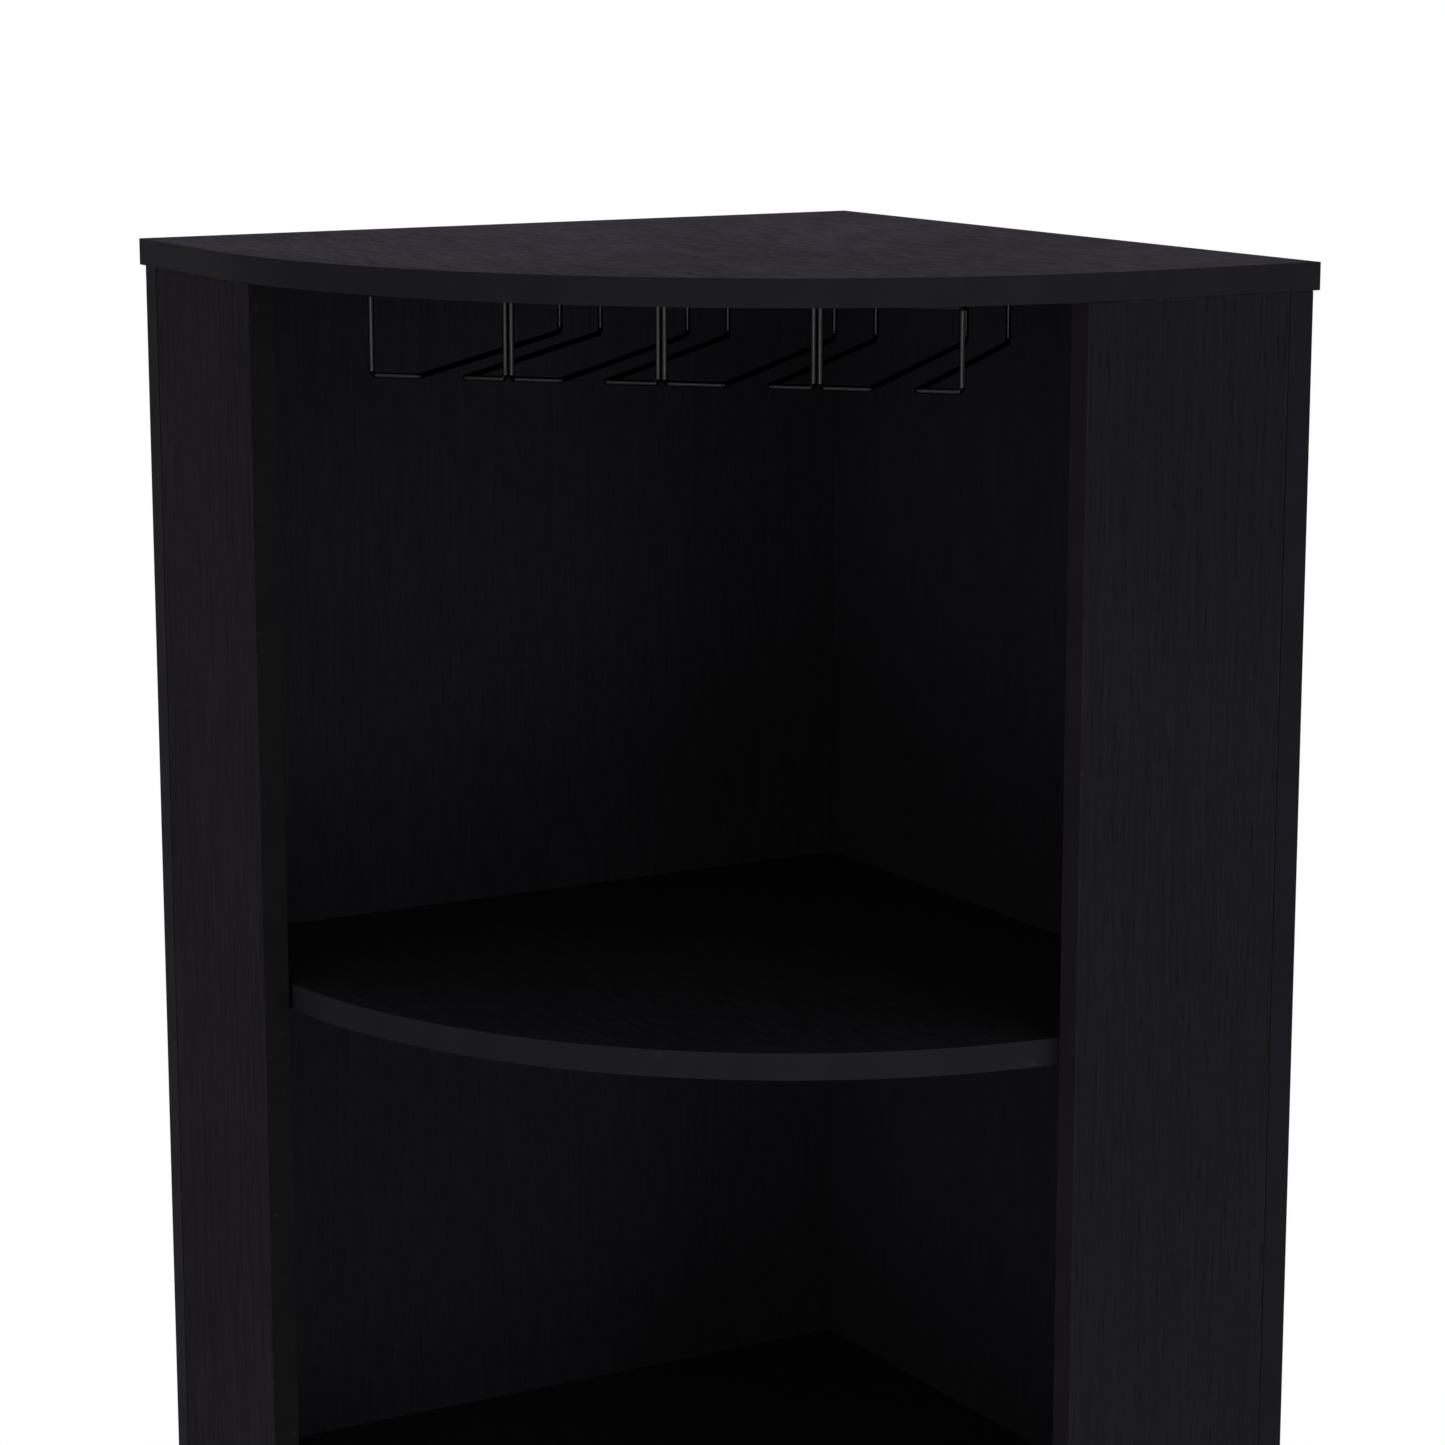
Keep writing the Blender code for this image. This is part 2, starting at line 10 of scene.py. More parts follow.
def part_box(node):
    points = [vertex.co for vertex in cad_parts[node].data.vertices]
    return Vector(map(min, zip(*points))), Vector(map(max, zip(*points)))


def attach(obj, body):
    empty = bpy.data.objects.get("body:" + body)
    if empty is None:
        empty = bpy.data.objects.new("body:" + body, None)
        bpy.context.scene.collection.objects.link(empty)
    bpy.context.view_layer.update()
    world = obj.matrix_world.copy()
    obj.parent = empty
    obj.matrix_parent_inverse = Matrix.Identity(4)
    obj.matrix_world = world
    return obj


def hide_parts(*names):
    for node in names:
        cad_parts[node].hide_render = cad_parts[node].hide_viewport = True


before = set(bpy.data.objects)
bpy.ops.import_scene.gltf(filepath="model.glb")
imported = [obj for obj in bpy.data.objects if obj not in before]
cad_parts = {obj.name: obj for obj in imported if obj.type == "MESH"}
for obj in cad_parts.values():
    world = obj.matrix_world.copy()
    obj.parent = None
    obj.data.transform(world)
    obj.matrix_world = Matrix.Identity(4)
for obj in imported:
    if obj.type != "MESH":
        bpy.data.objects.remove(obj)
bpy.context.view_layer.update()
print("frame loaded,", len(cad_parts), "nodes")

wallCorner = Vector((*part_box("top_board")[1].xy, 0.0))   # where the two walls meet, on the floor
alongDiagonal = math.radians(-45)                        # local X to the right, local Y to the corner


# camera

photoCamera = {
    "place": (-1.0931, -1.8871, 1.9649),
    "azimuth": -30.28,     # degrees, 0 looks along +Y
    "lookDown": 11.15,     # degrees under the horizon
    "lens": 98.41,         # mm
    "sensor": 36.0,        # mm
    "nearest": 0.05,
    "farthest": 60.0,
}


def addCamera(look):
    bpy.ops.object.camera_add(location=look["place"])
    camera = bpy.context.object
    camera.name = "photoCamera"
    camera.rotation_euler = (math.radians(90 - look["lookDown"]), 0, math.radians(look["azimuth"]))
    camera.data.lens = look["lens"]
    camera.data.sensor_width = look["sensor"]
    camera.data.clip_start = look["nearest"]
    camera.data.clip_end = look["farthest"]
    bpy.context.scene.camera = camera


addCamera(photoCamera)
bpy.context.scene.view_settings.view_transform = "Standard"
print("camera placed")


# node helpers

def addNode(tree, kind, sockets=None, **settings):
    made = tree.nodes.new(kind)
    for key, value in settings.items():
        setattr(made, key, value)
    for key, value in (sockets or {}).items():
        if isinstance(value, bpy.types.NodeSocket):
            tree.links.new(value, made.inputs[key])
        else:
            made.inputs[key].default_value = value
    return made


def startMaterial(name):
    material = bpy.data.materials.new(name)
    material.use_nodes = True
    tree = material.node_tree
    tree.nodes.clear()
    place = addNode(tree, "ShaderNodeTexCoord").outputs["Object"]
    return material, tree, place


def endMaterial(tree, sockets):
    shader = addNode(tree, "ShaderNodeBsdfPrincipled", sockets)
    addNode(tree, "ShaderNodeOutputMaterial", {"Surface": shader.outputs["BSDF"]})


def doMath(tree, operation, first, second=0.0, clamp=False):
    return addNode(tree, "ShaderNodeMath", {0: first, 1: second}, operation=operation,
                   use_clamp=clamp).outputs[0]


def stretchedNoise(tree, place, cell, detail=2.0, roughness=0.5):
    # noise whose cell is cell[0] x cell[1] x cell[2] metres
    scaled = addNode(tree, "ShaderNodeMapping", {"Vector": place, "Scale": [1 / size for size in cell]})
    return addNode(tree, "ShaderNodeTexNoise", {
        "Vector": scaled.outputs[0],
        "Scale": 1.0,
        "Detail": detail,
        "Roughness": roughness,
    }).outputs["Fac"]


def remap(tree, value, low, high, newLow=0.0, newHigh=1.0):
    return addNode(tree, "ShaderNodeMapRange", {
        "Value": value,
        "From Min": low,
        "From Max": high,
        "To Min": newLow,
        "To Max": newHigh,
    }).outputs[0]


def mixColours(tree, share, first, second):
    # by index: 0 is the factor, 6 and 7 the colours, 2 the colour that comes out
    colours = [value if isinstance(value, bpy.types.NodeSocket) else (*value, 1.0)
               for value in (first, second)]
    return addNode(tree, "ShaderNodeMix", {0: share, 6: colours[0], 7: colours[1]},
                   data_type="RGBA").outputs[2]


def addBump(tree, height, distance, strength=1.0):
    return addNode(tree, "ShaderNodeBump", {
        "Height": height,
        "Distance": distance,
        "Strength": strength,
    }).outputs["Normal"]


def followNoise(tree, noise, look):
    # roughness that goes down and up with a noise
    return remap(tree, noise, *look["sheenLimits"], look["roughness"] - look["smoother"],
                 look["roughness"] + look["rougher"])


# board finish

boardLook = {
    "dark": (0.0075, 0.0066, 0.0090),     # between the grain lines
    "light": (0.0174, 0.0150, 0.0212),    # on the grain lines
    "pore": (0.0050, 0.0047, 0.0056),     # short pores pressed into the film
    "worn": (0.034, 0.032, 0.036),        # film rubbed thin on an edge
    "lineSize": (0.0015, 0.050),          # width and length of a grain line
    "poreSize": (0.0007, 0.014),
    "cloudSize": 0.16,                    # broad patches of tone
    "rubSize": 0.012,                     # patches of wear
    "lineLimits": (0.30, 0.70),           # where a noise starts to count and counts in full
    "poreLimits": (0.60, 0.70),
    "cloudLimits": (0.35, 0.65),
    "rubLimits": (0.45, 0.75),
    "cloudShare": 0.25,
    "poreShare": 0.8,
    "wearShare": 0.8,
    "wearWidth": 0.0012,
    "roughness": 0.68,
    "roughSpread": 0.05,
    "poreRough": 0.12,
    "specular": 0.006,
    "relief": 0.00008,                    # depth of the grain
    "poreDepth": 0.6,                     # share of the relief
}
flatLook = {
    **boardLook,
    "dark": (0.0046, 0.0036, 0.0066),
    "light": (0.0206, 0.0170, 0.0262),
    "lineSize": (0.0032, 0.030),
    "relief": 0.00030,
}
# painted light: the shelves get a lighter copy of the board's colour, standing in for the light that falls
# on them
litShelfLook = {**flatLook, "dark": (0.0112, 0.0111, 0.0130), "light": (0.0182, 0.0180, 0.0211)}
# painted shade: the right stile gets a darker copy of the board's colour, set to the light that falls on it
shadedRightStileLook = {
    **boardLook,
    "dark": (0.0080, 0.0076, 0.0094),
    "light": (0.0122, 0.0116, 0.0142),
    "pore": (0.0058, 0.0056, 0.0066),
    "lineSize": (0.0012, 0.060),
}
# painted light: the wall panels get a lighter copy of the board's colour, standing in for light on their
# inner faces, which sit in the cabinet's shade
litPanelLook = {
    **boardLook,
    "dark": (0.0098, 0.0096, 0.0114),
    "light": (0.0147, 0.0145, 0.0173),
    "pore": (0.0076, 0.0074, 0.0086),
    "lineSize": (0.0012, 0.060),
}


def grainCell(size, axis):
    width, length = size
    return [length if name == axis else width for name in "XYZ"]


def nearEdges(tree, place, low, high, width):
    # 1 on the edges of a box and 0 further than width from them: the middle one of three distances
    split = addNode(tree, "ShaderNodeSeparateXYZ", {"Vector": place}).outputs
    gaps = []
    for i in range(3):
        middle = doMath(tree, "SUBTRACT", split[i], (low[i] + high[i]) / 2)
        gaps.append(doMath(tree, "SUBTRACT", (high[i] - low[i]) / 2, doMath(tree, "ABSOLUTE", middle)))
    lesser = doMath(tree, "MINIMUM", gaps[0], gaps[1])
    greater = doMath(tree, "MAXIMUM", gaps[0], gaps[1])
    middleGap = doMath(tree, "MAXIMUM", lesser, doMath(tree, "MINIMUM", greater, gaps[2]))
    return remap(tree, middleGap, 0.0, width, 1.0, 0.0)


def makeBoardFinish(name, axis, look, turned=0.0, box=None, wornAll=0.0):
    material, tree, place = startMaterial(name)
    if turned:
        place = addNode(tree, "ShaderNodeVectorRotate", {"Vector": place, "Angle": turned},
                        rotation_type="Z_AXIS").outputs[0]
    lines = stretchedNoise(tree, place, grainCell(look["lineSize"], axis), detail=3.0, roughness=0.6)
    pores = stretchedNoise(tree, place, grainCell(look["poreSize"], axis), detail=1.0)
    clouds = stretchedNoise(tree, place, [look["cloudSize"]] * 3)
    poreMask = remap(tree, pores, *look["poreLimits"])
    tone = doMath(tree, "ADD", remap(tree, lines, *look["lineLimits"], 0.0, 1 - look["cloudShare"]),
                  remap(tree, clouds, *look["cloudLimits"], 0.0, look["cloudShare"]), clamp=True)
    colour = mixColours(tree, tone, look["dark"], look["light"])
    colour = mixColours(tree, doMath(tree, "MULTIPLY", poreMask, look["poreShare"]), colour, look["pore"])
    rubbed = stretchedNoise(tree, place, [look["rubSize"]] * 3, detail=3.0, roughness=0.7)
    if box:
        edges = nearEdges(tree, place, *box, look["wearWidth"])
        patches = remap(tree, rubbed, *look["rubLimits"], 0.0, look["wearShare"])
        wear = doMath(tree, "MULTIPLY", edges, patches)
    else:
        wear = remap(tree, rubbed, *look["rubLimits"], 0.0, look["wearShare"] * wornAll)
    colour = mixColours(tree, wear, colour, look["worn"])
    film = remap(tree, tone, 0.0, 1.0, look["roughness"] + look["roughSpread"],
                 look["roughness"] - look["roughSpread"])
    rough = doMath(tree, "ADD", film, remap(tree, poreMask, 0.0, 1.0, 0.0, look["poreRough"]), clamp=True)
    height = doMath(tree, "SUBTRACT", lines, doMath(tree, "MULTIPLY", poreMask, look["poreDepth"]))
    endMaterial(tree, {
        "Base Color": colour,
        "Roughness": rough,
        "Specular IOR Level": look["specular"],
        "Normal": addBump(tree, height, look["relief"]),
    })
    return material


bandLook = {
    "front": {"colour": (0.0117, 0.0116, 0.0132), "darker": (0.0102, 0.0101, 0.0115)},
    # painted shade: the bands on the uprights get darker copies of the front band's tone, set to the light
    # that reaches each edge
    "innerLeft": {"colour": (0.0066, 0.0065, 0.0070), "darker": (0.0054, 0.0053, 0.0058)},
    "innerRight": {"colour": (0.0122, 0.0107, 0.0147), "darker": (0.0102, 0.0090, 0.0126)},
    "leftWall": {"colour": (0.0093, 0.0092, 0.0104), "darker": (0.0081, 0.0080, 0.0091)},
    "rightWall": {"colour": (0.0097, 0.0092, 0.0128), "darker": (0.0085, 0.0081, 0.0111)},
    "mottleSize": 0.03,
    "fineSize": 0.0009,
    "rubSize": 0.006,
    "toneLimits": (0.35, 0.65),       # where a noise starts to count and counts in full
    "rubLimits": (0.62, 0.80),
    "sheenLimits": (0.3, 0.7),
    "rubShare": 0.25,
    "roughness": 0.52,
    "smoother": 0.04,                 # the roughness goes this far down with the mottle
    "rougher": 0.05,                  # and this far up
    "specular": 0.009,
    "relief": 0.00002,
    "thickness": 0.0006,
    "proud": 0.00015,                 # stands this far out of the board
    "easing": 0.00025,
}


def makeBandFinish(name, look, tone):
    material, tree, place = startMaterial(name)
    mottle = stretchedNoise(tree, place, [look["mottleSize"]] * 3, detail=3.0, roughness=0.6)
    fine = stretchedNoise(tree, place, [look["fineSize"]] * 3)
    rubbed = stretchedNoise(tree, place, [look["rubSize"]] * 3, detail=3.0, roughness=0.7)
    colour = mixColours(tree, remap(tree, mottle, *look["toneLimits"]), tone["darker"], tone["colour"])
    wear = remap(tree, rubbed, *look["rubLimits"], 0.0, look["rubShare"])
    colour = mixColours(tree, wear, colour, boardLook["worn"])
    endMaterial(tree, {
        "Base Color": colour,
        "Roughness": followNoise(tree, mottle, look),
        "Specular IOR Level": look["specular"],
        "Normal": addBump(tree, fine, look["relief"]),
    })
    return material


# metal and plastic finishes

metalLook = {
    "edge": 1.0,                      # brightness of a face at a glancing view
    "broadSize": 0.02,                # broad patches of tone
    "broadShare": 0.5,
    "toneLimits": (0.35, 0.65),
    "sheenLimits": (0.3, 0.7),
    "smoother": 0.05,
    "rougher": 0.07,
    "relief": 0.00002,
}
blackLook = {**metalLook, "edge": 0.0, "cell": (0.004, 0.004, 0.004)}
metalLooks = {
    "wire": {
        **blackLook, "colour": (0.0150, 0.0150, 0.0155), "other": (0.0130, 0.0130, 0.0135),
        "roughness": 0.20,
    },
    # painted shade: the bends get a darker, rougher copy of the wire's finish, which hides their highlight
    "wireBend": {
        **blackLook, "colour": (0.0020, 0.0020, 0.0021), "other": (0.0015, 0.0015, 0.0016),
        "roughness": 0.50,
    },
    "strip": {
        **blackLook, "colour": (0.0075, 0.0075, 0.0080), "other": (0.0060, 0.0060, 0.0065),
        "roughness": 0.40,
    },
    "nickel": {
        **metalLook, "colour": (0.55, 0.54, 0.52), "other": (0.46, 0.45, 0.44),
        "roughness": 0.30, "cell": (0.012, 0.012, 0.0003), "relief": 0.000006,
    },
    "zinc": {
        **metalLook, "colour": (0.50, 0.51, 0.53), "other": (0.36, 0.37, 0.39),
        "roughness": 0.42, "cell": (0.0018, 0.0018, 0.0018),
    },
}


def makeMetalFinish(name, look):
    material, tree, place = startMaterial(name)
    broad = stretchedNoise(tree, place, [look["broadSize"]] * 3, detail=3.0, roughness=0.6)
    fine = stretchedNoise(tree, place, look["cell"])
    mixed = doMath(tree, "ADD", doMath(tree, "MULTIPLY", broad, look["broadShare"]),
                   doMath(tree, "MULTIPLY", fine, 1 - look["broadShare"]))
    tone = remap(tree, mixed, *look["toneLimits"])
    endMaterial(tree, {
        "Base Color": mixColours(tree, tone, look["other"], look["colour"]),
        "Metallic": 1.0,
        "Roughness": followNoise(tree, mixed, look),
        "Specular Tint": (look["edge"], look["edge"], look["edge"], 1.0),
        "Normal": addBump(tree, fine, look["relief"]),
    })
    return material


plasticLook = {
    "colour": (0.016, 0.016, 0.017),
    "other": (0.011, 0.011, 0.012),
    "sparkSize": 0.00035,     # the mould's spark texture
    "broadSize": 0.008,
    "toneLimits": (0.35, 0.65),
    "sheenLimits": (0.3, 0.7),
    "roughness": 0.5,
    "smoother": 0.06,
    "rougher": 0.08,
    "specular": 0.3,
    "relief": 0.00003,
}


def makePlasticFinish(name, look):
    material, tree, place = startMaterial(name)
    spark = stretchedNoise(tree, place, [look["sparkSize"]] * 3, roughness=0.7)
    broad = stretchedNoise(tree, place, [look["broadSize"]] * 3)
    tone = remap(tree, broad, *look["toneLimits"])
    endMaterial(tree, {
        "Base Color": mixColours(tree, tone, look["other"], look["colour"]),
        "Roughness": followNoise(tree, spark, look),
        "Specular IOR Level": look["specular"],
        "Normal": addBump(tree, spark, look["relief"]),
    })
    return material


topFinishes = [makeBoardFinish("boardTop", "Y", flatLook),
               makeBoardFinish("boardTopRim", "Y", flatLook, wornAll=1.0)]
litShelfFinishes = [makeBoardFinish("boardShelf", "Y", litShelfLook),
                 makeBoardFinish("boardShelfRim", "Y", litShelfLook, wornAll=1.0)]
uprightBoard = makeBoardFinish("boardUpright", "Z", boardLook)
crossBoard = makeBoardFinish("boardCross", "X", boardLook, turned=-alongDiagonal)
edgeBand = makeBandFinish("edgeBand", bandLook, bandLook["front"])
shadedUprightBands = {side: makeBandFinish(side + "Band", bandLook, bandLook[side])
                for side in ("innerLeft", "innerRight", "leftWall", "rightWall")}
blackWire = makeMetalFinish("blackWire", metalLooks["wire"])
mattWire = makeMetalFinish("mattWire", metalLooks["wireBend"])
blackStrip = makeMetalFinish("blackStrip", metalLooks["strip"])
brushedNickel = makeMetalFinish("brushedNickel", metalLooks["nickel"])
zincPlate = makeMetalFinish("zincPlate", metalLooks["zinc"])
blackPlastic = makePlasticFinish("blackPlastic", plasticLook)
print("finishes made")


# modelling helpers

samePlace = 0.00001               # points closer than this are one
facing = 0.9                      # a face looks along a direction when its normal has this share of it
sharpTurn = math.radians(35)      # an edge that turns further stays sharp to the eye
easedTurn = math.radians(40)      # and one that turns further than this is eased


def startPiece():
    if bpy.context.object and bpy.context.object.mode != "OBJECT":
        bpy.ops.object.mode_set(mode="OBJECT")
    bpy.ops.object.select_all(action="DESELECT")


def applyPlace(piece):
    startPiece()
    piece.select_set(True)
    bpy.context.view_layer.objects.active = piece
    bpy.ops.object.transform_apply(location=True, rotation=True, scale=True)


def addBlock(name, low, high):
    startPiece()
    middle = (Vector(low) + Vector(high)) / 2
    bpy.ops.mesh.primitive_cube_add(size=1.0, location=middle, scale=Vector(high) - Vector(low))
    piece = bpy.context.object
    piece.name = name
    applyPlace(piece)
    return piece


def pickOnly(piece, kind, wanted):
    # selects in edit mode what passes the test: a face by its centre and normal, a point by its
    # place, an edge by its ends
    bpy.context.view_layer.objects.active = piece
    bpy.ops.object.mode_set(mode="EDIT")
    bpy.ops.mesh.select_mode(type=kind)
    bpy.ops.mesh.select_all(action="DESELECT")
    bpy.ops.object.mode_set(mode="OBJECT")
    mesh = piece.data
    if kind == "FACE":
        for face in mesh.polygons:
            face.select = wanted(face.center, face.normal)
    elif kind == "VERT":
        for point in mesh.vertices:
            point.select = wanted(point.co)
    else:
        for edge in mesh.edges:
            edge.select = wanted(*[mesh.vertices[i].co for i in edge.vertices])
    bpy.ops.object.mode_set(mode="EDIT")


def addModifier(piece, kind, **settings):
    # adds a modifier and applies it at once
    startPiece()
    piece.select_set(True)
    bpy.context.view_layer.objects.active = piece
    modifier = piece.modifiers.new(kind.lower(), kind)
    for key, value in settings.items():
        setattr(modifier, key, value)
    bpy.ops.object.modifier_apply(modifier=modifier.name)


def easeEdges(piece, width, segments=3, rimSlot=0):
    addModifier(piece, "BEVEL", width=width, segments=segments, limit_method="ANGLE",
                angle_limit=easedTurn, material=rimSlot, harden_normals=False)
    bpy.ops.object.shade_smooth()
    addModifier(piece, "WEIGHTED_NORMAL", mode="FACE_AREA", weight=100, keep_sharp=False)


def placeOnDiagonal(piece):
    # from a drawing with X to the right and -Y out of the corner to its place in the cabinet
    applyPlace(piece)
    piece.matrix_world = Matrix.Translation(wallCorner) @ Matrix.Rotation(alongDiagonal, 4, "Z")
    applyPlace(piece)


def startPath(name, start):
    # one vertex in edit mode, to be extruded
    startPiece()
    bpy.ops.mesh.primitive_plane_add(size=0.001, location=start)
    piece = bpy.context.object
    piece.name = name
    applyPlace(piece)
    bpy.ops.object.mode_set(mode="EDIT")
    bpy.ops.mesh.select_mode(type="VERT")
    bpy.ops.mesh.select_all(action="SELECT")
    bpy.ops.mesh.merge(type="CENTER")
    return piece


def extrudeBy(*step):
    bpy.ops.mesh.extrude_region_move(TRANSFORM_OT_translate={"value": step})


def spinProfile(name, points, steps):
    # points are (radius, height), turned about Z
    piece = startPath(name, (points[0][0], 0, points[0][1]))
    for before, after in zip(points, points[1:]):
        extrudeBy(after[0] - before[0], 0, after[1] - before[1])
    bpy.ops.mesh.select_all(action="SELECT")
    bpy.ops.mesh.spin(steps=steps, angle=math.tau, center=(0, 0, 0), axis=(0, 0, 1))
    bpy.ops.mesh.select_all(action="SELECT")
    bpy.ops.mesh.remove_doubles(threshold=samePlace)
    bpy.ops.mesh.normals_make_consistent(inside=False)
    bpy.ops.object.mode_set(mode="OBJECT")
    bpy.ops.object.shade_smooth_by_angle(angle=sharpTurn)
    return piece


def cutAway(piece, cutter):
    addModifier(piece, "BOOLEAN", operation="DIFFERENCE", solver="EXACT", object=cutter)
    bpy.data.objects.remove(cutter)


def joinPieces(name, pieces):
    startPiece()
    for piece in pieces:
        piece.select_set(True)
    bpy.context.view_layer.objects.active = pieces[0]
    bpy.ops.object.join()
    pieces[0].name = name
    return pieces[0]


def copyPiece(model, place, outward, roll=0.0):
    # a copy whose Z points along outward
    startPiece()
    model.select_set(True)
    bpy.context.view_layer.objects.active = model
    bpy.ops.object.duplicate(linked=False)
    copy = bpy.context.object
    turn = Vector(outward).to_track_quat("Z", "Y").to_matrix().to_4x4()
    copy.matrix_world = Matrix.Translation(place) @ turn @ Matrix.Rotation(roll, 4, "Z")
    applyPlace(copy)
    return copy


def finishPiece(piece, body, slot, *materials):
    for material in materials:
        piece.data.materials.append(material)
    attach(piece, body)
    return piece


# rounded boards and their bands

roundedBoards = {
    "nodes": ("top_board", "upper_shelf", "serving_shelf", "cupboard_top_board", "bottom_board"),
    "roundingInset": 0.1125,     # centre of the rounded fronts, out from each wall
    "segments": 96,
    "easing": 0.0005,
}
frontCentre = wallCorner - Vector((roundedBoards["roundingInset"], roundedBoards["roundingInset"], 0))


def roundFront(piece, low):
    # bevels the upright edge at the low corner into the rounded front
    pickOnly(piece, "EDGE", lambda a, b: abs(a.x - b.x) + abs(a.y - b.y) < samePlace
             and abs(a.x - low.x) + abs(a.y - low.y) < samePlace)
    bpy.ops.mesh.bevel(offset=frontCentre.x - low.x, segments=roundedBoards["segments"], affect="EDGES")
    bpy.ops.object.mode_set(mode="OBJECT")


def makeBand(name, board, kept, body="carcase", finish=edgeBand):
    # edge banding over the faces of a board that pass the test
    startPiece()
    board.select_set(True)
    bpy.context.view_layer.objects.active = board
    bpy.ops.object.duplicate(linked=False)
    band = bpy.context.object
    band.name = name
    pickOnly(band, "FACE", lambda centre, normal: not kept(centre, normal))
    bpy.ops.mesh.delete(type="FACE")
    bpy.ops.object.mode_set(mode="OBJECT")
    addModifier(band, "SOLIDIFY", thickness=bandLook["thickness"],
                offset=2 * bandLook["proud"] / bandLook["thickness"] - 1)
    easeEdges(band, bandLook["easing"], segments=2)
    finishPiece(band, body, "board", finish)


def makeRoundedBoard(node):
    low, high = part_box(node)
    title = node.title().replace("_", "")
    board = addBlock(title + "Panel", low, high)
    roundFront(board, low)
    makeBand(title + "Band", board, lambda centre, normal: abs(normal.z) < facing
             and centre.x < high.x - samePlace and centre.y < high.y - samePlace)
    for finish in topFinishes if node == "top_board" else litShelfFinishes:
        board.data.materials.append(finish)
    easeEdges(board, roundedBoards["easing"], rimSlot=1)
    finishPiece(board, "carcase", "board")
    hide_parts(node)


for nodeName in roundedBoards["nodes"]:
    makeRoundedBoard(nodeName)
print("rounded boards and bands made")


# bands on the square boards

def makeBoxBand(name, low, high, side, body="carcase", diagonal=False, backShare=1.0, finish=edgeBand):
    # side is the direction that the banded faces look in, or None for all four ends of an upright
    blank = addBlock(name + "Blank", low, high)
    if backShare != 1.0:
        pickOnly(blank, "VERT", lambda co: co.y > (low[1] + high[1]) / 2)
        bpy.ops.transform.resize(value=(backShare, 1, 1), center_override=(0, 0, 0))
        bpy.ops.object.mode_set(mode="OBJECT")
    if diagonal:
        placeOnDiagonal(blank)
    turn = Matrix.Rotation(alongDiagonal if diagonal else 0.0, 3, "Z")
    front = turn @ Vector((0, -1, 0))
    wanted = turn @ Vector(side) if side else None
    makeBand(name, blank, lambda centre, normal: normal.dot(wanted) > facing if side
             else abs(normal.dot(front)) < facing, body, finish)
    bpy.data.objects.remove(blank)


squareBands = {
    "LeftPanelBand": ("left_wall_panel", (-1, 0, 0), shadedUprightBands["leftWall"]),
    "RightPanelBand": ("right_wall_panel", (0, -1, 0), shadedUprightBands["rightWall"]),
    "LeftStileBand": ("left_stile", (0, -1, 0), shadedUprightBands["innerLeft"]),
    "RightStileBand": ("right_stile", (-1, 0, 0), shadedUprightBands["innerRight"]),
}
door = {
    "face": 0.43846,         # the door's face, out along the diagonal from the wall corner
    "thickness": 0.015,
    "halfWidth": 0.22534,    # of its face; the ends are mitred at 45 degrees
    "shelfFront": 0.40346,   # the shelf behind it
    "shelfHalfWidth": 0.24142,
}
for bandName, (nodeName, direction, finish) in squareBands.items():
    makeBoxBand(bandName, *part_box(nodeName), direction, finish=finish)
doorLow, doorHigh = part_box("door")
makeBoxBand("DoorBand", (-door["halfWidth"], -door["face"], doorLow.z),
            (door["halfWidth"], door["thickness"] - door["face"], doorHigh.z), None, "door", True,
            1 - door["thickness"] / door["halfWidth"])
shelfLow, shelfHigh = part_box("inner_shelf")
makeBoxBand("InnerShelfBand", (-door["shelfHalfWidth"], -door["shelfFront"], shelfLow.z),
            (door["shelfHalfWidth"], door["thickness"] - door["shelfFront"], shelfHigh.z), (0, -1, 0),
            diagonal=True)
print("square bands made")


# stemware rack

stemwareRack = {
    "front": 0.470,          # the drops, out along the diagonal from the wall corner
    "back": 0.217,
    "drop": 0.0443,          # from the top's underside to the middle of the rails
    "wire": 0.0031,          # diameter
    "frontBend": 0.0022,     # bend radii, to the wire's middle
    "backBend": 0.0034,
    "bendSteps": 8,
    "roundness": 8,
    "gap": 0.0003,           # between wire and strip
    "weld": 0.0012,          # height of a weld bead
    "weldSteps": 20,
    "weldProfile": (         # shares of the wire's radius and of the bead's height
        (0.9, 1), (1.08, 1), (1.22, 0.5), (1.5, 0.15), (1.8, 0), (0.9, 0), (0.9, 1),
    ),
    "mattRise": 0.0033,      # a foot's bends get a rougher finish, darker as painted shade that hides their highlight: this far up the drop
    "mattLeft": 0.0044,      # and this far along the foot, at the left drop and the right one
    "mattRight": 0.0008,
    "hangers": (             # left drop, left rail, right rail and right drop, to the right
        (-0.1482, -0.1217, -0.0967, -0.0739),
        (-0.0705, -0.0437, -0.0193, 0.0094),
        (0.0128, 0.0444, 0.0690, 0.0924),
        (0.0958, 0.1218, 0.1465, 0.1701),
    ),
    "stripWidth": 0.014,
    "stripCorner": 0.003,
    "stripCornerSteps": 6,
    "stripEasing": 0.0002,
    "frontScrews": (-0.11105, -0.03055, 0.0526, 0.13295),
    "backScrews": (-0.0702, 0.01255, 0.0954),
    "screwHead": 0.0028,     # radius of a countersink at the strip's underside
    "screwShank": 0.0016,
    "holeSteps": 32,
}


def makeWeld(place, look):
    # a small fillet round the end of a drop
    bead = spinProfile("weld", [(look["wire"] / 2 * out, -look["weld"] * down)
                                for out, down in look["weldProfile"]], look["weldSteps"])
    bead.location = place
    applyPlace(bead)
    return bead


def shadeBends(hanger, leftDrop, rightDrop, rail, look):
    # gives the faces of a foot's two bends the rougher, darker finish: painted shade over their highlight
    pickOnly(hanger, "FACE", lambda centre, normal: centre.z < rail + look["mattRise"]
             and centre.y < look["wire"] - look["front"]
             and (centre.x < leftDrop + look["mattLeft"] or centre.x > rightDrop - look["mattRight"]))
    hanger.active_material_index = 1
    bpy.ops.object.material_slot_assign()
    bpy.ops.object.mode_set(mode="OBJECT")


